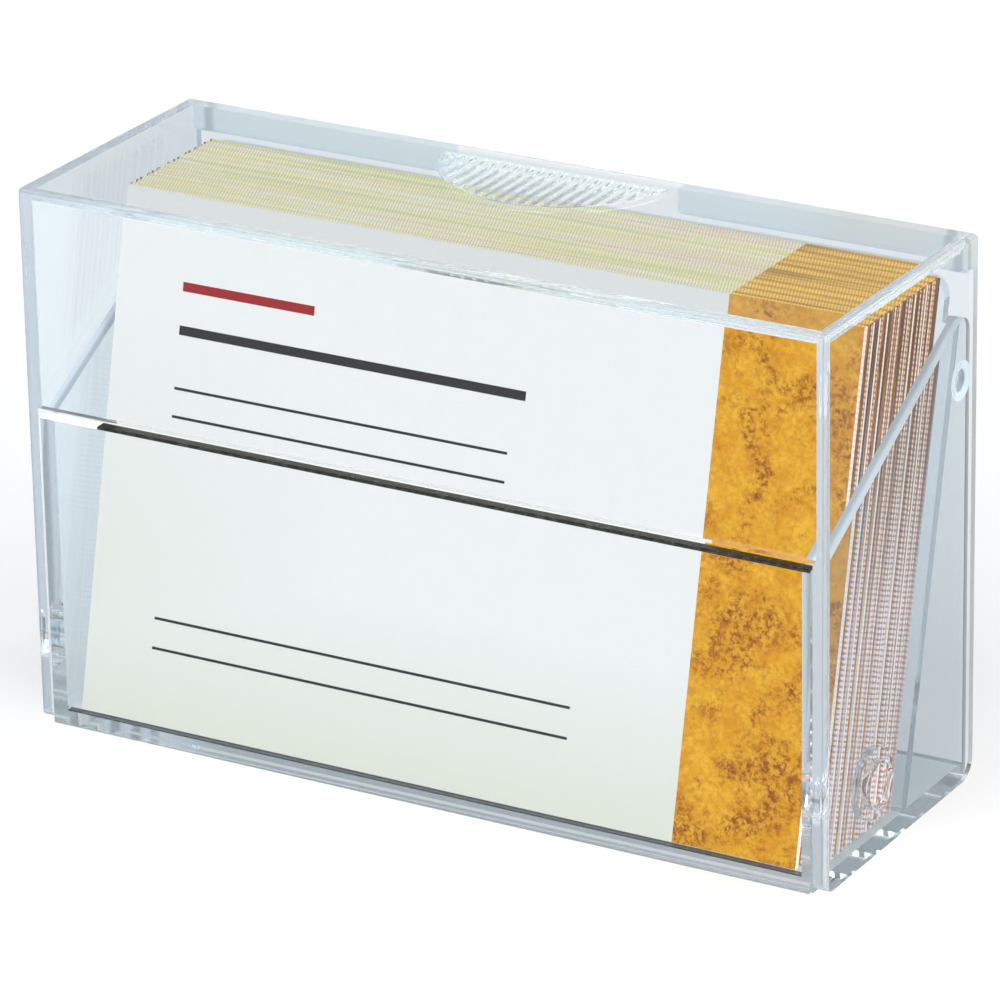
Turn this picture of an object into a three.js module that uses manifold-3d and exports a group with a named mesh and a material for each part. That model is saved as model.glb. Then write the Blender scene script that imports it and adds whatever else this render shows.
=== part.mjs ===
// Clear business card box: a tray that holds a leaning stack of cards, and a lid hinged low on the tray's sides.
// Millimetres, +Z up, +X to the right, the front faces -Y. The origin is the middle of the footprint, on the table.
import * as THREE from 'three';
import { mergeVertices } from 'three/addons/utils/BufferGeometryUtils.js';
import Module from 'manifold-3d';

const wasm = await Module();
wasm.setup();

// The cards
const cardWidth = 85;
const cardHeight = 55;
const cardThickness = 0.33;
const cardCount = 44;
const cardLean = THREE.MathUtils.degToRad(12.9);
const cardAir = 0.02; // least air between two cards
const cardAirSwing = 0.047; // more of it where the stack has not settled
const cardShift = 0.25; // how far a card's side edge stands out of line

// Room round the cards
const cardSideRoom = 1.2;
const cardFrontRoom = 0.85;
const cardFloorGap = 0.05;
const cardRestGap = 0.1;
const headroom = 3.2;

// Walls of the two mouldings
const lidSideWall = 1.5;
const lidFrontWall = 1.4;
const lidTopWall = 1.4;
const trayWall = 1.3;
const trayFloor = 1.5;
const backrestWall = 1.2;

// Clearances between tray and lid
const sideGap = 0.25;
const seamGap = 0.8; // the lid's front edge passes over the tray's front edge as it swings down
const tableGap = 0.3; // the tray alone stands on the table
const rearInset = 0.2;
const pinGap = 0.08;
const detentGap = 0.05;

// Tray
const trayFrontHeight = 35;
const traySlope = THREE.MathUtils.degToRad(28.6);
const backrestDrop = 0.35; // the backrest ends this far below the tops of the cards
const backrestEndGap = 0.5; // above the side walls the backrest stands free of them
const backrestCorner = 2;
const trayRearCorner = 1.6;
const trayEdgeRound = 0.35;
const rearRoom = 0.6; // from the head of the backrest to the lid's rear face

// Lid
const lidEdgeRound = 0.8;
const lidFrontCorner = 1.6; // lower corners of the side walls
const lidRearCorner = 2.2;
const lipDrop = 2.7; // the rear lips hang this far below the top wall
const lipWall = 1.4;

// Hinge
const hingeSetback = 13.1; // from the front face
const hingeHeight = 7.05;
const pinRadius = 2.6;
const pinChamfer = 0.3;
const pinShort = 0.1; // the pin ends inside its boss
const bossWall = 1.17;
const bossHeight = 0.8;

// Detents near the rear edges
const detentRadius = 2.15;
const detentHeight = 0.2;
const detentDepth = 0.45;
const detentSetback = 2.6; // from the rear face
const detentLevel = 44.7;

// Thumb grip on the top
const gripRadius = 13.4;
const gripCentreSetback = 0.6; // from the rear face
const gripRearSetback = 3;
const gripDepth = 0.35;
const ribPitch = 1.35;
const ribWidth = 0.62;
const ribEndGap = 0.35;

// Sizes that follow
const cardTopRise = cardHeight * Math.cos(cardLean);
const cardTopReach = cardHeight * Math.sin(cardLean);
const cardFootRise = cardThickness * Math.sin(cardLean);
const cardTopZ = trayFloor + cardFloorGap + cardFootRise + cardTopRise;
const boxWidth = cardWidth + 2 * (cardSideRoom + trayWall + sideGap + lidSideWall);
const boxHeight = cardTopZ + headroom + lidTopWall;
const stackDepths = stackPlaces();
const stackDepth = stackDepths[cardCount];
const backrestDepth = backrestWall / Math.cos(cardLean);
const boxDepth = trayWall + cardFrontRoom + stackDepth + cardRestGap + cardTopReach + backrestDepth + rearRoom;

const frontY = -boxDepth / 2;
const rearY = boxDepth / 2;
const lidInsideX = boxWidth / 2 - lidSideWall;
const trayOutsideX = lidInsideX - sideGap;
const trayInsideX = trayOutsideX - trayWall;
const trayRearY = rearY - rearInset;
const hingeY = frontY + hingeSetback;
const cardFrontY = frontY + trayWall + cardFrontRoom;
const farOut = boxWidth + boxDepth + boxHeight;
const arcSteps = 7;
const roundSteps = 48;
const ribSteps = 4;

const xAxis = new THREE.Vector3(1, 0, 0);
const yAxis = new THREE.Vector3(0, 1, 0);
const zAxis = new THREE.Vector3(0, 0, 1);

// Turns an outline's own axes into the two axes beside the one it is drawn along.
const outlineTurns = {
  x: new THREE.Matrix4().makeBasis(yAxis, zAxis, xAxis),
  y: new THREE.Matrix4().makeBasis(xAxis, zAxis, yAxis.clone().negate()),
  z: new THREE.Matrix4(),
};

// Depth of each card's front face behind the first, and of the whole stack as the last entry.
function stackPlaces() {
  const places = [0];
  for (let i = 0; i < cardCount; i++) {
    const air = cardAir + cardAirSwing * Math.sin(1.9 * i) ** 4;
    places.push(places[i] + (cardThickness + air) / Math.cos(cardLean));
  }
  return places;
}

function toSolid(geometry) {
  const bare = geometry.clone();
  bare.deleteAttribute('normal');
  bare.deleteAttribute('uv');
  const merged = mergeVertices(bare, 1e-5);
  return new wasm.Manifold(new wasm.Mesh({
    numProp: 3,
    vertProperties: new Float32Array(merged.attributes.position.array),
    triVerts: new Uint32Array(merged.index.array),
  }));
}

function toGeometry(solid) {
  const { vertProperties, triVerts } = solid.getMesh();
  const geometry = new THREE.BufferGeometry();
  geometry.setAttribute('position', new THREE.BufferAttribute(new Float32Array(vertProperties), 3));
  geometry.setIndex(new THREE.BufferAttribute(new Uint32Array(triVerts), 1));
  geometry.computeVertexNormals();
  return geometry;
}

// Points of a polygon whose corners, each given as [across, up, radius], are rounded.
function roundedShape(corners) {
  const points = [];
  corners.forEach(([across, up, radius], i) => {
    const corner = new THREE.Vector2(across, up);
    const [beforeAcross, beforeUp] = corners.at(i - 1);
    const [afterAcross, afterUp] = corners[(i + 1) % corners.length];
    const toBefore = new THREE.Vector2(beforeAcross, beforeUp).sub(corner).normalize();
    const toAfter = new THREE.Vector2(afterAcross, afterUp).sub(corner).normalize();
    if (!radius) {
      points.push(corner);
      return;
    }
    const half = Math.acos(toBefore.dot(toAfter)) / 2;
    const toCentre = toBefore.clone().add(toAfter).setLength(radius / Math.sin(half));
    const centre = corner.clone().add(toCentre);
    const start = corner.clone().addScaledVector(toBefore, radius / Math.tan(half)).sub(centre);
    const end = corner.clone().addScaledVector(toAfter, radius / Math.tan(half)).sub(centre);
    const turn = Math.atan2(start.cross(end), start.dot(end));
    for (let step = 0; step <= arcSteps; step++) {
      const angle = start.angle() + (turn * step) / arcSteps;
      points.push(new THREE.Vector2(Math.cos(angle), Math.sin(angle)).multiplyScalar(radius).add(centre));
    }
  });
  return new THREE.Shape(points);
}

// A prism of an outline along one axis. The outline is in the other two axes, in X, Y, Z order.
function prism(shape, axis, low, high) {
  const geometry = new THREE.ExtrudeGeometry(shape, {
    depth: high - low,
    bevelEnabled: false,
    curveSegments: roundSteps,
  });
  geometry.applyMatrix4(outlineTurns[axis]);
  const start = axis === 'y' ? high : low;
  const move = { x: xAxis, y: yAxis, z: zAxis }[axis].clone().multiplyScalar(start);
  geometry.translate(move.x, move.y, move.z);
  return toSolid(geometry);
}

function block([x0, x1], [y0, y1], [z0, z1]) {
  const geometry = new THREE.BoxGeometry(x1 - x0, y1 - y0, z1 - z0);
  geometry.translate((x0 + x1) / 2, (y0 + y1) / 2, (z0 + z1) / 2);
  return toSolid(geometry);
}

// A turned form about a line along X, from a profile of [distance along the line, radius].
function turned(profile, x, y, z, side) {
  const geometry = new THREE.LatheGeometry(
    profile.map(([along, radius]) => new THREE.Vector2(radius, along)),
    roundSteps,
  );
  geometry.rotateZ((-side * Math.PI) / 2);
  geometry.translate(x, y, z);
  return toSolid(geometry);
}

// Where the backrest's front face is, at a height.
function backrestFrontY(z) {
  const foot = trayFloor + cardFloorGap + cardFootRise;
  return cardFrontY + stackDepth + cardRestGap + (z - foot) * Math.tan(cardLean);
}

// Height of the tray's sloping side edge, at a depth.
function traySideTop(y) {
  return trayFrontHeight + (y - frontY - trayWall) * Math.tan(traySlope);
}

function makeTray() {
  const sideOutline = roundedShape([
    [frontY, 0, trayEdgeRound],
    [trayRearY, 0, trayEdgeRound],
    [trayRearY, traySideTop(trayRearY), trayRearCorner],
    [frontY + trayWall, trayFrontHeight, 0],
    [frontY, trayFrontHeight, trayEdgeRound],
  ]);
  const body = prism(sideOutline, 'x', -trayOutsideX, trayOutsideX);
  const hollow = block(
    [-trayInsideX, trayInsideX],
    [frontY + trayWall, farOut],
    [trayFloor, farOut],
  );
  const backrestTop = cardTopZ - backrestDrop;
  const backrestOutline = new THREE.Shape([
    new THREE.Vector2(backrestFrontY(trayFloor / 2), trayFloor / 2),
    new THREE.Vector2(backrestFrontY(trayFloor / 2) + backrestDepth, trayFloor / 2),
    new THREE.Vector2(backrestFrontY(backrestTop) + backrestDepth, backrestTop),
    new THREE.Vector2(backrestFrontY(backrestTop), backrestTop),
  ]);
  const reach = trayOutsideX - trayWall / 2;
  const freeReach = trayInsideX - backrestEndGap;
  const lowPart = prism(backrestOutline, 'x', -reach, reach).intersect(
    prism(sideOutline, 'x', -farOut, farOut),
  );
  const face = roundedShape([
    [-freeReach, 0, 0],
    [freeReach, 0, 0],
    [freeReach, backrestTop, backrestCorner],
    [-freeReach, backrestTop, backrestCorner],
  ]);
  const fullPart = prism(backrestOutline, 'x', -freeReach, freeReach).intersect(
    prism(face, 'y', -farOut, farOut),
  );
  let tray = body.subtract(hollow).add(lowPart).add(fullPart);
  for (const side of [-1, 1]) {
    const bossTop = trayWall + bossHeight;
    const boss = [[0, 0], [0, pinRadius + pinGap + bossWall], [bossTop, pinRadius + pinGap + bossWall], [bossTop, 0]];
    const hole = [[-sideGap, 0], [-sideGap, pinRadius + pinGap], [bossTop + sideGap, pinRadius + pinGap],
      [bossTop + sideGap, 0]];
    tray = tray
      .add(turned(boss, side * trayOutsideX, hingeY, hingeHeight, -side))
      .subtract(turned(hole, side * trayOutsideX, hingeY, hingeHeight, -side))
      .subtract(makeDetent(side, detentRadius + detentGap, sideGap + detentDepth, side * lidInsideX));
  }
  return tray;
}

// A shallow round cap that faces the tray, standing on the plane at x.
function makeDetent(side, radius, height, x) {
  const ball = (radius * radius + height * height) / (2 * height);
  const spread = Math.asin(radius / ball);
  const profile = [[-detentGap, 0], [-detentGap, radius]];
  for (let step = 0; step <= arcSteps; step++) {
    const angle = spread * (1 - step / arcSteps);
    profile.push([height - ball + ball * Math.cos(angle), step === arcSteps ? 0 : ball * Math.sin(angle)]);
  }
  return turned(profile, x, rearY - detentSetback, detentLevel, -side);
}

function makeLid() {
  const halfWidth = boxWidth / 2;
  const sideView = roundedShape([
    [frontY, tableGap, lidFrontCorner],
    [rearY, tableGap, lidRearCorner],
    [rearY, boxHeight, lidEdgeRound],
    [frontY, boxHeight, lidEdgeRound],
  ]);
  const frontView = roundedShape([
    [-halfWidth, 0, 0],
    [halfWidth, 0, 0],
    [halfWidth, boxHeight, lidEdgeRound],
    [-halfWidth, boxHeight, lidEdgeRound],
  ]);
  const topView = roundedShape([
    [-halfWidth, frontY, lidEdgeRound],
    [halfWidth, frontY, lidEdgeRound],
    [halfWidth, rearY, 0],
    [-halfWidth, rearY, 0],
  ]);
  const outside = prism(sideView, 'x', -halfWidth, halfWidth)
    .intersect(prism(frontView, 'y', -farOut, farOut))
    .intersect(prism(topView, 'z', -farOut, farOut));

  const across = [-lidInsideX, lidInsideX];
  const ceiling = boxHeight - lidTopWall;
  const hollow = block(across, [frontY + lidFrontWall, rearY - lipWall], [-farOut, ceiling]);
  const openFront = block(across, [-farOut, 0], [-farOut, trayFrontHeight + seamGap]);
  const openRear = block(across, [0, farOut], [-farOut, ceiling - lipDrop]);
  const lipBreak = block([-gripRadius, gripRadius], [0, farOut], [-farOut, ceiling]);

  let lid = outside
    .subtract(hollow)
    .subtract(openFront)
    .subtract(openRear)
    .subtract(lipBreak)
    .subtract(makeGripRecess());
  for (const side of [-1, 1]) {
    const pinLength = sideGap + trayWall + bossHeight - pinShort;
    const root = -lidSideWall / 2;
    const pin = [[root, 0], [root, pinRadius], [pinLength - pinChamfer, pinRadius],
      [pinLength, pinRadius - pinChamfer], [pinLength, 0]];
    lid = lid
      .add(turned(pin, side * lidInsideX, hingeY, hingeHeight, -side))
      .add(makeDetent(side, detentRadius, detentHeight, side * lidInsideX));
  }
  return lid;
}

// The part of a disc in front of the grip's straight rear side, sunk into the top, less its ribs.
function makeGripRecess() {
  const centreY = rearY - gripCentreSetback;
  const rearSide = rearY - gripRearSetback;
  const disc = new THREE.Shape().absarc(0, centreY, gripRadius, 0, 2 * Math.PI);
  const floor = boxHeight - gripDepth;
  let recess = prism(disc, 'z', floor, farOut).intersect(
    block([-gripRadius, gripRadius], [-farOut, rearSide], [0, 2 * farOut]),
  );
  const ribsAside = Math.floor((gripRadius - ribWidth) / ribPitch);
  for (let i = -ribsAside; i <= ribsAside; i++) {
    const x = i * ribPitch;
    const halfChord = Math.sqrt(gripRadius ** 2 - (Math.abs(x) + ribWidth / 2) ** 2);
    const low = centreY - halfChord + ribEndGap;
    const high = rearSide - ribEndGap;
    if (high - low < ribWidth) continue;
    recess = recess.subtract(makeRib(x, low, high, floor));
  }
  return recess;
}

// A rib whose round crown is level with the top, rooted below the recess.
function makeRib(x, low, high, floor) {
  const half = ribWidth / 2;
  const root = floor - gripDepth / 2;
  const section = new THREE.Shape();
  section.moveTo(x - half, root);
  section.lineTo(x + half, root);
  section.absellipse(x, floor, half, gripDepth, 0, Math.PI, false);
  return prism(new THREE.Shape(section.getPoints(ribSteps)), 'y', low, high);
}

const clearPlastic = () => new THREE.MeshStandardMaterial({
  color: 0xdfeaf2,
  roughness: 0.05,
  metalness: 0,
  transparent: true,
  opacity: 0.3,
});
const paper = () => new THREE.MeshStandardMaterial({ color: 0xf5f2e6, roughness: 0.8, metalness: 0 });

const box = new THREE.Group();

const tray = new THREE.Mesh(toGeometry(makeTray()), clearPlastic());
tray.name = 'tray';
box.add(tray);

const lid = new THREE.Mesh(toGeometry(makeLid()), clearPlastic());
lid.name = 'lid';
box.add(lid);

// Each card leans back on the one behind it, with its foot on the tray's floor.
const stack = new THREE.Group();
const cardShape = new THREE.BoxGeometry(cardWidth, cardThickness, cardHeight);
cardShape.translate(0, cardThickness / 2, cardHeight / 2);
for (let i = 0; i < cardCount; i++) {
  const card = new THREE.Mesh(cardShape, paper());
  card.name = `card_${String(i + 1).padStart(2, '0')}`;
  card.position.set(
    cardShift * Math.sin(2.3 * i + Math.sin(i)),
    cardFrontY + stackDepths[i],
    trayFloor + cardFloorGap + cardFootRise,
  );
  card.rotation.x = -cardLean;
  stack.add(card);
}
box.add(stack);

export default box;
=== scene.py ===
import math

import bmesh
import bpy
from mathutils import Matrix, Vector


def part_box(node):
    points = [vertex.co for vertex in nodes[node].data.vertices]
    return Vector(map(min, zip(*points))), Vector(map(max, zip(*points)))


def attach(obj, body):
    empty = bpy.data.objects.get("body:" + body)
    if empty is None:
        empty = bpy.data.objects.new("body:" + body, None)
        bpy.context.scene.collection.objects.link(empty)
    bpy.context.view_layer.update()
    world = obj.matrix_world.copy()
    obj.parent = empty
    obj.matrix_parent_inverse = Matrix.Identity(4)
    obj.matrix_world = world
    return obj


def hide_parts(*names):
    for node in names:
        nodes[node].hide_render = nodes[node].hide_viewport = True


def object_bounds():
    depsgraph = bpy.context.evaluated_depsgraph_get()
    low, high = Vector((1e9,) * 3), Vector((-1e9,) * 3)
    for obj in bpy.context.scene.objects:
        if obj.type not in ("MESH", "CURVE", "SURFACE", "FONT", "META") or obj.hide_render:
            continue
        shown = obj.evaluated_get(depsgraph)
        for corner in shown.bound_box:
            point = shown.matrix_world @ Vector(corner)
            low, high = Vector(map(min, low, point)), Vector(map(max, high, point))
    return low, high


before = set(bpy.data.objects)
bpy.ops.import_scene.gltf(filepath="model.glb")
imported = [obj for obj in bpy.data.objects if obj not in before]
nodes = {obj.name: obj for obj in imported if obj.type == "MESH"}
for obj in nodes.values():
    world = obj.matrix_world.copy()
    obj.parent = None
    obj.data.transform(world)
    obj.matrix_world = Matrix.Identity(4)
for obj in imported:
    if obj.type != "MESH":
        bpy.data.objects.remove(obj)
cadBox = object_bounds()
cardNames = sorted(name for name in nodes if name.startswith("card_"))
print("frame loaded:", len(nodes), "nodes")


# Small helpers for node trees


def startMaterial(name):
    material = bpy.data.materials.new(name)
    material.use_nodes = True
    material.node_tree.nodes.clear()
    return material, material.node_tree


def addNode(tree, kind, settings=None, **inputs):
    node = tree.nodes.new("ShaderNode" + kind)
    for key, value in (settings or {}).items():
        setattr(node, key, value)
    for key, value in inputs.items():
        feed(tree, node, key.replace("_", " "), value)
    return node


def feed(tree, node, socketName, value):  # a number, a colour or another node's output
    socket = node.inputs[int(socketName)] if socketName.isdigit() else node.inputs[socketName]
    if isinstance(value, bpy.types.NodeSocket):
        tree.links.new(value, socket)
    else:
        socket.default_value = value


def mathOf(tree, operation, first, second=None, clamp=False):
    node = addNode(tree, "Math", {"operation": operation, "use_clamp": clamp})
    feed(tree, node, "0", first)
    if second is not None:
        feed(tree, node, "1", second)
    return node.outputs[0]


def withinRange(tree, value, low, high):
    above = mathOf(tree, "GREATER_THAN", value, low)
    below = mathOf(tree, "LESS_THAN", value, high)
    return mathOf(tree, "MULTIPLY", above, below)


def mixColours(tree, share, first, second, blend="MIX"):
    node = addNode(tree, "Mix", {"data_type": "RGBA", "blend_type": blend})
    feed(tree, node, "0", share)
    feed(tree, node, "6", first)
    feed(tree, node, "7", second)
    return node.outputs[2]


def timesColour(tree, first, second):
    return mixColours(tree, 1.0, first, second, "MULTIPLY")


def darker(colour, share):
    return tuple(share * part for part in colour[:3]) + (1.0,)


def rampOf(tree, value, stops):  # stops are (place, grey or colour)
    node = addNode(tree, "ValToRGB", Fac=value)
    ramp = node.color_ramp
    while len(ramp.elements) < len(stops):
        ramp.elements.new(1.0)
    for element, (place, colour) in zip(ramp.elements, stops):
        element.position = place
        element.color = (*colour, 1.0) if isinstance(colour, tuple) else (colour, colour, colour, 1.0)
    return node.outputs[0]


def noiseOf(tree, vector, scale, detail=3.0, roughness=0.5, distortion=0.0):
    node = addNode(tree, "TexNoise", Vector=vector, Scale=scale, Detail=detail, Roughness=roughness,
                   Distortion=distortion)
    return node.outputs[0]


# Clear polystyrene. Lamps and diffuse light pass straight through it, so that the cards are lit inside the box.

plastic = {
    "ior": 1.59,
    "lampTint": (0.99, 0.994, 0.998, 1.0),
    "glare": (0.4, 0.42, 0.44, 1.0),  # how strongly its faces mirror
    # colour, share seen through, least and most roughness
    "clear": ((0.92, 0.963, 0.985, 1.0), 1.0, 0.006, 0.03),
    "worn": ((0.85, 0.92, 0.945, 1.0), 1.0, 0.13, 0.20),
    # the matt faces are frosted, and their pale grey-blue is partly a painted highlight for the light these edges
    # catch
    "matt": ((0.66, 0.74, 0.80, 1.0), 0.35, 0.28, 0.42),
    # marks of handling: the noise's scale, detail, roughness and distortion, and where they start and end
    "handling": (55.0, 4.0, 0.6, 0.4),
    "handlingFrom": 0.45,
    "handlingTo": 0.8,
    # the moulded faces are never quite flat
    "waves": (90.0, 2.0),
    "waveHeight": 0.000012,
    "waveStrength": 0.08,
    # painted shade by how squarely a surface faces an axis: two dark lines along each rounded edge
    "paintedEdgeLines": [(0.0, 1.0), (0.84, 1.0), (0.90, 0.66), (0.945, 0.66), (0.965, 1.0), (1.0, 1.0)],
    # painted shade on the floor between the front wall and the first card, where no light gets in: y, z and colour
    "paintedFloorShade": ((-0.0153, -0.0142), (0.0014, 0.0016), (0.03, 0.033, 0.035, 1.0)),
    # painted light and shade across the matt faces, by the distance from the middle over the span: lips and rear
    # lighter, then the slopes, darker at their inner side and lighter at their outer side
    "paintedMattShading": [(0.0, 1.12), (0.862, 1.12), (0.870, 0.72), (0.884, 0.72), (0.890, 1.15), (1.0, 1.15)],
    "paintedMattShadingSpan": 0.05,
    # the top of the tray's front wall: a painted shade, near black, but for a short painted light at the left end
    "paintedSeamLight": (0.95, 0.94, 0.86, 1.0),
    "paintedSeamLightTo": -0.038,
    "seamShadeSpecks": (1900.0, 3.0, 0.7),
    "paintedSeamTones": [(0.48, (0.012, 0.014, 0.012)), (0.66, (0.05, 0.055, 0.045))],
    "seamRoughness": 0.22,
    "seamGloss": 0.2,
}


def finishPlastic(tree, solid):
    clear = addNode(tree, "BsdfTransparent", Color=plastic["lampTint"])
    path = addNode(tree, "LightPath")
    lamps = mathOf(tree, "MAXIMUM", path.outputs["Is Shadow Ray"], path.outputs["Is Diffuse Ray"])
    mixed = addNode(tree, "MixShader")
    feed(tree, mixed, "0", lamps)
    feed(tree, mixed, "1", solid.outputs[0])
    feed(tree, mixed, "2", clear.outputs[0])
    addNode(tree, "OutputMaterial", Surface=mixed.outputs[0])


def squareness(tree):  # 1 where a surface faces an axis, less on the rounded edges
    parts = addNode(tree, "SeparateXYZ", Vector=addNode(tree, "TexCoord").outputs["Normal"])
    x, y, z = [mathOf(tree, "ABSOLUTE", part) for part in parts.outputs]
    return mathOf(tree, "MAXIMUM", mathOf(tree, "MAXIMUM", x, y), z)


def makePlastic(name, finish):
    material, tree = startMaterial(name)
    colour, seenThrough, smoothest, roughest = plastic[finish]
    place = addNode(tree, "TexCoord").outputs["Object"]
    across, deep, up = addNode(tree, "SeparateXYZ", Vector=place).outputs
    if finish == "clear":
        # painted shade: two dark lines along each rounded edge
        colour = timesColour(tree, colour, rampOf(tree, squareness(tree), plastic["paintedEdgeLines"]))
        # painted shade on the floor strip in front of the first card
        depths, levels, dark = plastic["paintedFloorShade"]
        strip = mathOf(tree, "MULTIPLY", withinRange(tree, deep, *depths), withinRange(tree, up, *levels))
        colour = mixColours(tree, strip, colour, dark)
    if finish == "matt":
        # painted light and shade across the matt faces, by distance from the middle
        fromMiddle = mathOf(tree, "DIVIDE", mathOf(tree, "ABSOLUTE", across), plastic["paintedMattShadingSpan"])
        colour = timesColour(tree, colour, rampOf(tree, fromMiddle, plastic["paintedMattShading"]))
    handled = noiseOf(tree, place, *plastic["handling"])
    roughness = rampOf(tree, handled, [(plastic["handlingFrom"], smoothest), (plastic["handlingTo"], roughest)])
    bump = addNode(tree, "Bump", Strength=plastic["waveStrength"], Distance=plastic["waveHeight"],
                   Height=noiseOf(tree, place, *plastic["waves"]))
    solid = addNode(tree, "BsdfPrincipled", Base_Color=colour, IOR=plastic["ior"], Roughness=roughness,
                    Transmission_Weight=seenThrough, Specular_Tint=plastic["glare"], Normal=bump.outputs[0])
    finishPlastic(tree, solid)
    return material


def makePaintedSeamShade():
    material, tree = startMaterial("paintedSeamShade")
    place = addNode(tree, "TexCoord").outputs["Object"]
    along = addNode(tree, "SeparateXYZ", Vector=place).outputs[0]
    # painted shade, near black with specks, and a painted light at the left end
    specks = rampOf(tree, noiseOf(tree, place, *plastic["seamShadeSpecks"]), plastic["paintedSeamTones"])
    paintedLightEnd = mathOf(tree, "LESS_THAN", along, plastic["paintedSeamLightTo"])
    colour = mixColours(tree, paintedLightEnd, specks, plastic["paintedSeamLight"])
    solid = addNode(tree, "BsdfPrincipled", Base_Color=colour, Roughness=plastic["seamRoughness"],
                    Specular_IOR_Level=plastic["seamGloss"])
    finishPlastic(tree, solid)
    return material


# The cards: off-white stock, an ochre band at the right that runs off every edge, and plain ruled lines

cards = {
    "leanDegrees": 12.9,
    "width": 0.085,
    "height": 0.055,
    "roughness": 0.62,
    "gloss": 0.25,
    "faceTurn": 0.7,  # a face looks along an axis where its normal has more than this of it
    # the paper and its fibres, and a painted shade, greener and darker, near its left edge and foot
    "stock": (0.82, 0.81, 0.785, 1.0),
    "stockInPaintedShade": (0.69, 0.70, 0.59, 1.0),
    "fibres": (1600.0, 4.0, 0.6),
    "fibresShow": [(0.35, 0.0), (0.75, 0.3)],
    "fibreShade": 0.94,
    "fibreHeight": 0.00004,
    "fibreStrength": 0.12,
    "paintedEdgeShade": (0.03, [(0.0, 0.5), (1.0, 0.0)]),
    "paintedEdgeShadeUp": [(0.35, 1.0), (0.8, 0.0)],
    "paintedFootShade": (0.018, [(0.0, 0.9), (1.0, 0.0)]),
    # the mottled band: each noise's scale, detail, roughness and distortion, and its ramp
    "bandStart": 0.071,
    "gold": (0.70, 0.30, 0.008, 1.0),
    "goldLight": (0.83, 0.43, 0.026, 1.0),
    "rust": (0.30, 0.075, 0.005, 1.0),
    "golds": ((420.0, 5.0, 0.65), [(0.38, 0.0), (0.62, 1.0)]),
    "patches": ((170.0, 5.0, 0.62, 0.9), [(0.45, 0.0), (0.64, 1.0)]),
    "grain": ((1900.0, 3.0, 0.7), [(0.44, 0.0), (0.60, 1.0)]),
    "veins": ((700.0, 6.0, 0.75, 1.6), [(0.53, 0.0), (0.62, 0.9)]),
    "grainInPatches": 0.7,
    "rustInPatches": 0.8,
    "rustUnderPatches": 0.15,
    "rustEverywhere": 0.24,
    # left, right, low, high on the card in metres, and the colour's name
    "rules": [
        (0.008, 0.0495, 0.0416, 0.0426, "rule"),
        (0.008, 0.0480, 0.0358, 0.0361, "rule"),
        (0.008, 0.0480, 0.0328, 0.0331, "rule"),
        (0.008, 0.0580, 0.0112, 0.0115, "rule"),
        (0.008, 0.0580, 0.0080, 0.0083, "rule"),
        (0.008, 0.0240, 0.0462, 0.0472, "redRule"),
    ],
    "rule": (0.03, 0.028, 0.03, 1.0),
    "redRule": (0.33, 0.02, 0.02, 1.0),
    # the cut edges of a card: at the top, low and high at the sides, how dark the marks of the cut are, and how
    # light the band's colour is at the top. The fourth kind, darker all round, is a painted shade for the dark
    # gaps that show every few cards in the stack
    "cuts": [
        ((0.96, 0.935, 0.80, 1.0), (1.0, 0.91, 0.86, 1.0), (0.97, 0.84, 0.70, 1.0), 0.15, 1.05),
        ((0.95, 0.89, 0.62, 1.0), (1.0, 0.88, 0.83, 1.0), (0.84, 0.54, 0.34, 1.0), 0.70, 0.92),
        ((0.95, 0.875, 0.80, 1.0), (1.0, 0.90, 0.84, 1.0), (0.92, 0.70, 0.52, 1.0), 0.45, 1.0),
        ((0.86, 0.86, 0.70, 1.0), (0.82, 0.64, 0.59, 1.0), (0.14, 0.06, 0.038, 1.0), 0.45, 0.6),
    ],
    # every few cards take the fourth kind, with its painted shade
    "order": [0, 0, 3, 1, 0, 2, 3, 1, 0, 1, 3, 2, 0, 1, 3, 1, 0, 2, 3, 1, 2, 0, 3, 1, 0, 2, 3, 1],
    # the tops shine in streaks along the stack's rows, over the stock and over the band
    "rowScale": (24.0, 1000.0),
    "streaks": [(0.34, (1.0, 0.80, 0.80)), (0.45, (1.0, 1.0, 1.0)), (0.54, (1.0, 0.95, 0.60)),
                (0.66, (0.74, 0.86, 0.76))],
    "bandStreaks": [(0.36, 0.55), (0.45, 1.05), (0.57, 1.2), (0.66, 0.75)],
    "goldCut": (1.0, 0.74, 0.17, 1.0),
    "rustCut": (0.46, 0.13, 0.014, 1.0),
    "ochreInCut": 0.3,
    # the marks of the cut: their pitch, slant, unevenness and shades
    "topPitch": 0.00036,
    "sidePitch": 0.00056,
    "markSlant": 0.4,
    "markDrift": (500.0, 2.0),
    "markDriftTurns": 4.0,
    "marksShow": [(0.45, 0.0), (0.7, 1.0)],
    "topMarks": 0.5,
    "topMarkShade": 0.45,
    "lowMark": (0.30, 0.115, 0.10, 1.0),
    "highMark": (0.20, 0.07, 0.04, 1.0),
    "sideFade": [(0.42, 0.0), (0.9, 1.0)],
    # behind the first card, the cut also shows on a hair's breadth of the printed face, with a painted dark brown
    # shade there near the top
    "firstCard": 0.0001,
    "topRim": 0.00013,
    "sideRim": 0.00002,
    "strip": (0.25, 0.12, 0.06, 1.0),
}


def cardAxes(tree, place):  # u across the card, w into the stack, v up each card from its foot on the level floor
    low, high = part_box(cardNames[0])
    lean = math.radians(cards["leanDegrees"])
    foot = (-cards["width"] / 2, low.y, high.z - cards["height"] * math.cos(lean))
    moved = addNode(tree, "Mapping", {"vector_type": "POINT"}, Vector=place, Location=[-part for part in foot])
    turned = addNode(tree, "Mapping", {"vector_type": "POINT"}, Vector=moved.outputs[0], Rotation=(lean, 0.0, 0.0))
    u, w, v = addNode(tree, "SeparateXYZ", Vector=turned.outputs[0]).outputs
    return u, w, mathOf(tree, "SUBTRACT", v, mathOf(tree, "MULTIPLY", w, math.tan(lean)))


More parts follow.
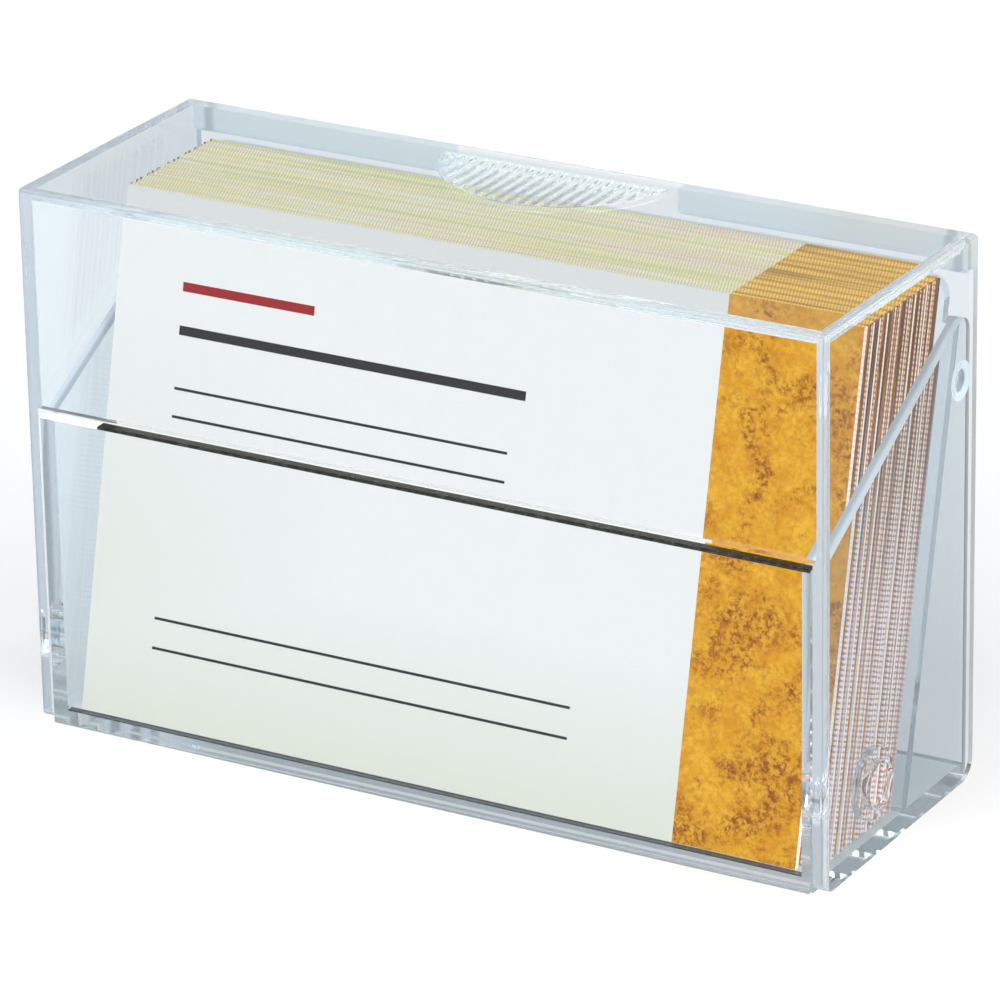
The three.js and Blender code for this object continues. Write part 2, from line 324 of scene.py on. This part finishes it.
def mottledOchre(tree, place):  # light and deep gold, with rust in patches of fine grain and thin veins
    golds, patches, grain, veins = [rampOf(tree, noiseOf(tree, place, *cards[name][0]), cards[name][1])
                                    for name in ("golds", "patches", "grain", "veins")]
    spots = mathOf(tree, "ADD", mathOf(tree, "MULTIPLY", grain, cards["grainInPatches"]), veins)
    rusty = mathOf(tree, "MULTIPLY", patches, spots, clamp=True)
    rusty = mathOf(tree, "ADD", mathOf(tree, "MULTIPLY", rusty, cards["rustInPatches"]),
                   mathOf(tree, "MULTIPLY", patches, cards["rustUnderPatches"]))
    rusty = mathOf(tree, "ADD", rusty, mathOf(tree, "MULTIPLY", grain, cards["rustEverywhere"]), clamp=True)
    return mixColours(tree, rusty, mixColours(tree, golds, cards["gold"], cards["goldLight"]), cards["rust"])


def paperStockWithPaintedShade(tree, u, v, up, fibres):
    stock = mixColours(tree, rampOf(tree, fibres, cards["fibresShow"]), cards["stock"],
                       darker(cards["stock"], cards["fibreShade"]))
    # painted shade: greener and darker near the left edge, fading upwards, and near the foot
    edgeWidth, edgeStops = cards["paintedEdgeShade"]
    footHeight, footStops = cards["paintedFootShade"]
    paintedShadeNearEdge = mathOf(tree, "MULTIPLY", rampOf(tree, mathOf(tree, "DIVIDE", u, edgeWidth), edgeStops),
                      rampOf(tree, up, cards["paintedEdgeShadeUp"]))
    paintedShadeNearFoot = rampOf(tree, mathOf(tree, "DIVIDE", v, footHeight), footStops)
    return mixColours(tree, mathOf(tree, "MAXIMUM", paintedShadeNearEdge, paintedShadeNearFoot), stock, cards["stockInPaintedShade"])


def cutMarks(tree, place, distance, w, pitch, share):  # small even marks, a little slanted and loose
    slanted = mathOf(tree, "ADD", distance, mathOf(tree, "MULTIPLY", w, cards["markSlant"]))
    turns = mathOf(tree, "MULTIPLY", slanted, 2.0 * math.pi / pitch)
    drift = mathOf(tree, "MULTIPLY", noiseOf(tree, place, *cards["markDrift"]), cards["markDriftTurns"])
    wave = mathOf(tree, "SINE", mathOf(tree, "ADD", turns, drift))
    lifted = mathOf(tree, "ADD", mathOf(tree, "MULTIPLY", wave, 0.5), 0.5)
    return mathOf(tree, "MULTIPLY", rampOf(tree, lifted, cards["marksShow"]), share)


def makeCardStock(name, topCut, lowCut, highCut, marks, bandShade):
    material, tree = startMaterial(name)
    coords = addNode(tree, "TexCoord")
    place = coords.outputs["Object"]
    u, w, v = cardAxes(tree, place)
    up = mathOf(tree, "DIVIDE", v, cards["height"])
    facing = addNode(tree, "SeparateXYZ", Vector=coords.outputs["Normal"]).outputs

    # where the front, the top and the sides are
    front = mathOf(tree, "LESS_THAN", facing[1], -cards["faceTurn"])
    side = mathOf(tree, "GREATER_THAN", mathOf(tree, "ABSOLUTE", facing[0]), cards["faceTurn"])
    behind = mathOf(tree, "GREATER_THAN", w, cards["firstCard"])
    fromMiddle = mathOf(tree, "ABSOLUTE", mathOf(tree, "SUBTRACT", u, cards["width"] / 2))
    strip = mathOf(tree, "GREATER_THAN", fromMiddle, cards["width"] / 2 - cards["sideRim"])
    strip = mathOf(tree, "MULTIPLY", strip, behind)
    topRim = mathOf(tree, "GREATER_THAN", v, cards["height"] - cards["topRim"])
    top = mathOf(tree, "MAXIMUM", mathOf(tree, "GREATER_THAN", facing[2], cards["faceTurn"]),
                 mathOf(tree, "MULTIPLY", topRim, behind))

    # the printed face
    ochre = mottledOchre(tree, place)
    fibres = noiseOf(tree, place, *cards["fibres"])
    inBand = mathOf(tree, "GREATER_THAN", u, cards["bandStart"])
    face = mixColours(tree, inBand, paperStockWithPaintedShade(tree, u, v, up, fibres), ochre)
    for left, right, bottom, ceiling, colour in cards["rules"]:
        inside = mathOf(tree, "MULTIPLY", withinRange(tree, u, left, right), withinRange(tree, v, bottom, ceiling))
        face = mixColours(tree, mathOf(tree, "MULTIPLY", inside, front), face, cards[colour])

    # the cut at the top, where the band's colour bleeds in
    stretchAcross, stretchDeep = cards["rowScale"]
    along = addNode(tree, "CombineXYZ", X=mathOf(tree, "MULTIPLY", u, stretchAcross),
                    Y=mathOf(tree, "MULTIPLY", w, stretchDeep))
    rows = noiseOf(tree, along.outputs[0], 1.0)
    overBand = mixColours(tree, cards["ochreInCut"], cards["goldCut"], ochre)
    overBand = timesColour(tree, overBand, (bandShade, bandShade, bandShade, 1.0))
    overBand = timesColour(tree, overBand, rampOf(tree, rows, cards["bandStreaks"]))
    overStock = timesColour(tree, topCut, rampOf(tree, rows, cards["streaks"]))
    topMark = mixColours(tree, inBand, darker(topCut, cards["topMarkShade"]), cards["rustCut"])
    topMarks = cutMarks(tree, place, u, w, cards["topPitch"], cards["topMarks"])
    topEdge = mixColours(tree, topMarks, mixColours(tree, inBand, overStock, overBand), topMark)

    # the cut at the sides, darker towards the top
    high = rampOf(tree, up, cards["sideFade"])
    sideMarks = cutMarks(tree, place, v, w, cards["sidePitch"], marks)
    sideEdge = mixColours(tree, sideMarks, mixColours(tree, high, lowCut, highCut),
                          mixColours(tree, high, cards["lowMark"], cards["highMark"]))

    colour = mixColours(tree, top, face, topEdge)
    # the strip takes the side's cut low down and a painted dark brown shade near the top
    colour = mixColours(tree, strip, colour, mixColours(tree, high, sideEdge, cards["strip"]))
    colour = mixColours(tree, side, colour, sideEdge)
    bump = addNode(tree, "Bump", Strength=cards["fibreStrength"], Distance=cards["fibreHeight"], Height=fibres)
    shader = addNode(tree, "BsdfPrincipled", Base_Color=colour, Roughness=cards["roughness"],
                     Specular_IOR_Level=cards["gloss"], Normal=bump.outputs[0])
    addNode(tree, "OutputMaterial", Surface=shader.outputs[0])
    return material


cardStocks = [makeCardStock("printedCard" + str(i), *cut) for i, cut in enumerate(cards["cuts"])]
for number, name in enumerate(cardNames):
    nodes[name].material_slots[0].material = cardStocks[cards["order"][number % len(cards["order"])]]
print("cards printed:", len(cardNames))


# The two mouldings, from merged copies of the solids, so that their rounded edges shade smoothly

moulding = {
    "mergeDistance": 0.000002,
    "sliver": 0.00001,
    "flatAngle": 0.4,
    "sharpAngle": 28.0,
    "tolerance": 0.0001,
    # the tray's front wall, whose top carries the painted shade of the seam
    "frontWallTop": 0.035,
    "frontWall": 0.0013,
    "frontRounding": 0.0004,
    # the sloping top edges of the tray's sides
    "slopesFrom": 0.0431,
    "slopesTo": 0.0555,
    "slopeSideways": 0.3,
    "slopeUpwards": 0.25,
    # the detents: middle in y and z, their reach, the bare ring's start, and the largest face that belongs to them
    "detent": (0.01387, 0.0447),
    "detentReach": 0.0026,
    "detentRing": 0.0012,
    "detentFace": 0.000004,
    # the lid's rear lips and the thumb grip between them
    "lipFrom": 0.015,
    "lipLevel": 0.05574,
    "lipEnd": 0.0134,
    "gripFrom": 0.0594,
    "gripReach": 0.0134,
    "gripFace": 0.00002,
    # the flat rear faces, and the rounded upper corners of the tray's back
    "rearFrom": 0.016,
    "rearTurn": 0.9,
    "cornerFrom": 0.0528,
    "cornerTo": 0.0552,
    "cornerBehind": 0.0136,
    "cornerUpwards": 0.05,
}


# the matt faces take a pale colour that is partly painted light; the top of the tray's front wall takes the
# painted seam shade
def finishOf(face, frontY):
    across, deep, up = face.calc_center_median()
    across = abs(across)
    normal, area, near = face.normal, face.calc_area(), moulding["tolerance"]
    detentY, detentZ = moulding["detent"]
    fromDetent = math.hypot(deep - detentY, up - detentZ)
    if fromDetent < moulding["detentReach"] and area < moulding["detentFace"]:
        return "matt" if fromDetent > moulding["detentRing"] else "worn"
    onLip = abs(up - moulding["lipLevel"]) < near or abs(across - moulding["lipEnd"]) < near
    if onLip and deep > moulding["lipFrom"]:
        return "matt"
    inGrip = deep > moulding["lipFrom"] - moulding["gripReach"] and across < moulding["gripReach"]
    if inGrip and up > moulding["gripFrom"] and area < moulding["gripFace"]:
        return "worn"
    if deep > moulding["rearFrom"] and normal.y > moulding["rearTurn"]:
        return "matt"
    atCorner = moulding["cornerFrom"] < up < moulding["cornerTo"] and deep > moulding["cornerBehind"]
    if atCorner and normal.z > moulding["cornerUpwards"]:
        return "matt"
    facesUp = abs(normal.x) <= moulding["slopeSideways"] and normal.z >= moulding["slopeUpwards"]
    if up < moulding["frontWallTop"] - moulding["frontRounding"] or not facesUp:
        return "clear"
    # the top of the front wall takes the painted shade of the seam
    if deep < frontY + moulding["frontWall"] and up < moulding["frontWallTop"] + near:
        return "seam"
    return "matt" if across > moulding["slopesFrom"] and up < moulding["slopesTo"] else "clear"


def smoothMoulding(nodeName, pieceName, body):
    mesh = bpy.data.meshes.new(pieceName)
    shape = bmesh.new()
    shape.from_mesh(nodes[nodeName].data)
    bmesh.ops.remove_doubles(shape, verts=shape.verts, dist=moulding["mergeDistance"])
    bmesh.ops.dissolve_degenerate(shape, dist=moulding["sliver"], edges=shape.edges)
    bmesh.ops.dissolve_limit(shape, angle_limit=math.radians(moulding["flatAngle"]), verts=shape.verts,
                             edges=shape.edges)
    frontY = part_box(nodeName)[0].y
    for face in shape.faces:
        face.smooth = True
        face.material_index = list(finishes).index(finishOf(face, frontY))
    for edge in shape.edges:
        edge.smooth = edge.is_manifold and edge.calc_face_angle(0.0) < math.radians(moulding["sharpAngle"])
    shape.to_mesh(mesh)
    shape.free()
    for finish in finishes.values():
        mesh.materials.append(finish)
    piece = bpy.data.objects.new(pieceName, mesh)
    bpy.context.scene.collection.objects.link(piece)
    weights = piece.modifiers.new("Even shading", "WEIGHTED_NORMAL")
    weights.keep_sharp = True
    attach(piece, body)
    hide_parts(nodeName)


finishes = {
    "clear": makePlastic("clearPolystyrene", "clear"),
    "matt": makePlastic("mattPolystyrene", "matt"),
    "seam": makePaintedSeamShade(),
    "worn": makePlastic("wornPolystyrene", "worn"),
}
smoothMoulding("tray", "trayShell", "tray")
smoothMoulding("lid", "lidShell", "lid")
print("mouldings made")


# Floor, light and camera

studio = {
    "floorSize": 3.0,
    "floorDrop": 0.00002,
    "floorSeen": (0.60, 0.604, 0.61, 1.0),
    "floorOwnLight": 0.52,
    # what the polished faces mirror: once, and again and again inside a wall
    "floorOnce": (0.19, 0.20, 0.21, 1.0),
    "floorAgain": (0.26, 0.28, 0.30, 1.0),
    "farFloor": (0.82, 0.84, 0.86, 1.0),
    "farFloorFrom": [(0.22, 0.0), (0.40, 1.0)],
    "skyColours": [(0.0, (0.78, 0.80, 0.82)), (0.7, (0.95, 0.97, 1.0))],
    "skyStrength": 0.63,
    "skyOnce": [(0.0, 0.9), (0.2, 0.7), (0.3, 0.3), (0.5, 0.3), (0.62, 0.8), (1.0, 1.0)],
    "skyAgain": [(0.0, 0.9), (0.25, 0.7), (0.36, 0.36), (0.52, 0.36), (0.64, 0.85), (1.0, 1.0)],
    # strength, spread in degrees, and where it comes from
    "suns": {
        "keyLight": (1.4, 50.0, (-0.10, -0.76, 0.64)),
        "fillLight": (2.72, 70.0, (0.95, -0.12, 0.36)),
    },
    # light runs along inside the clear walls for many bounces
    "bounces": 96,
    "clearLayers": 48,
}


def howSeen(tree):  # directly or through the plastic; or mirrored by it, at all and more than once
    path = addNode(tree, "LightPath")
    mirrored = mathOf(tree, "GREATER_THAN", path.outputs["Glossy Depth"], 0.5)
    again = mathOf(tree, "GREATER_THAN", path.outputs["Glossy Depth"], 1.5)
    plain = mathOf(tree, "MAXIMUM", path.outputs["Is Camera Ray"], path.outputs["Is Transmission Ray"])
    return mathOf(tree, "MULTIPLY", plain, mathOf(tree, "SUBTRACT", 1.0, mirrored)), mirrored, again


def makeFloor():
    mesh = bpy.data.meshes.new("floor")
    shape = bmesh.new()
    bmesh.ops.create_grid(shape, x_segments=1, y_segments=1, size=studio["floorSize"])
    bmesh.ops.translate(shape, verts=shape.verts, vec=(0.0, 0.0, -studio["floorDrop"]))
    shape.to_mesh(mesh)
    shape.free()
    material, tree = startMaterial("paleFloor")
    seen, mirrored, again = howSeen(tree)
    reach = addNode(tree, "VectorMath", {"operation": "LENGTH"})
    feed(tree, reach, "0", addNode(tree, "TexCoord").outputs["Object"])
    near = mixColours(tree, again, studio["floorOnce"], studio["floorAgain"])
    far = rampOf(tree, reach.outputs["Value"], studio["farFloorFrom"])
    zones = mixColours(tree, far, near, studio["farFloor"])
    lit = addNode(tree, "BsdfDiffuse", Color=mixColours(tree, mirrored, studio["floorSeen"], zones))
    ownLight = mathOf(tree, "MULTIPLY", mathOf(tree, "MAXIMUM", seen, again), studio["floorOwnLight"])
    own = addNode(tree, "Emission", Color=studio["floorSeen"], Strength=ownLight)
    both = addNode(tree, "AddShader")
    feed(tree, both, "0", lit.outputs[0])
    feed(tree, both, "1", own.outputs[0])
    addNode(tree, "OutputMaterial", Surface=both.outputs[0])
    mesh.materials.append(material)
    floor = bpy.data.objects.new("floor", mesh)
    bpy.context.scene.collection.objects.link(floor)


def makeSky():
    world = bpy.data.worlds.new("studioSky")
    bpy.context.scene.world = world
    world.use_nodes = True
    tree = world.node_tree
    tree.nodes.clear()
    up = addNode(tree, "SeparateXYZ", Vector=addNode(tree, "TexCoord").outputs["Generated"]).outputs[2]
    direct, mirrored, again = howSeen(tree)
    zones = mixColours(tree, again, rampOf(tree, up, studio["skyOnce"]), rampOf(tree, up, studio["skyAgain"]))
    strength = mixColours(tree, mirrored, (studio["skyStrength"],) * 3 + (1.0,), zones)
    light = addNode(tree, "Background", Color=rampOf(tree, up, studio["skyColours"]), Strength=strength)
    seen = addNode(tree, "Background", Color=(1.0, 1.0, 1.0, 1.0), Strength=1.0)
    mixed = addNode(tree, "MixShader")
    feed(tree, mixed, "0", direct)
    feed(tree, mixed, "1", light.outputs[0])
    feed(tree, mixed, "2", seen.outputs[0])
    addNode(tree, "OutputWorld", Surface=mixed.outputs[0])


def makeSuns():
    for name, (strength, spread, source) in studio["suns"].items():
        lamp = bpy.data.lights.new(name, "SUN")
        lamp.energy = strength
        lamp.angle = math.radians(spread)
        holder = bpy.data.objects.new(name, lamp)
        bpy.context.scene.collection.objects.link(holder)
        holder.rotation_euler = Vector(source).to_track_quat("Z", "Y").to_euler()


# where the camera stands, seen from the box's middle, and where it looks
view = {
    "azimuth": 30.4,
    "elevation": 21.98,
    "distance": 0.6639,
    "yaw": 30.36,
    "pitch": 22.13,
    "roll": -1.07,
    "focalPixels": 6449.6,
    "framePixels": 1000.0,
    "sensorWidth": 36.0,
    "clipStart": 0.05,
    "clipEnd": 20.0,
}


def towards(azimuth, elevation):
    a, e = math.radians(azimuth), math.radians(elevation)
    return Vector((math.sin(a) * math.cos(e), -math.cos(a) * math.cos(e), math.sin(e)))


def makeCamera():
    data = bpy.data.cameras.new("camera")
    data.sensor_width = view["sensorWidth"]
    data.lens = view["focalPixels"] * view["sensorWidth"] / view["framePixels"]
    data.clip_start = view["clipStart"]
    data.clip_end = view["clipEnd"]
    camera = bpy.data.objects.new("camera", data)
    bpy.context.scene.collection.objects.link(camera)
    centre = (cadBox[0] + cadBox[1]) / 2
    camera.location = centre + towards(view["azimuth"], view["elevation"]) * view["distance"]
    back = towards(view["yaw"], view["pitch"])
    right = Vector((math.cos(math.radians(view["yaw"])), math.sin(math.radians(view["yaw"])), 0.0))
    basis = Matrix((right, back.cross(right), back)).transposed()
    roll = Matrix.Rotation(math.radians(view["roll"]), 3, "Z")
    camera.rotation_euler = (basis @ roll).to_euler()
    bpy.context.scene.camera = camera


makeFloor()
makeSky()
makeSuns()
makeCamera()
bpy.context.scene.view_settings.view_transform = "Standard"
cycles = bpy.context.scene.cycles
cycles.max_bounces = cycles.glossy_bounces = cycles.transmission_bounces = studio["bounces"]
cycles.transparent_max_bounces = studio["clearLayers"]
print("floor, light and camera set")
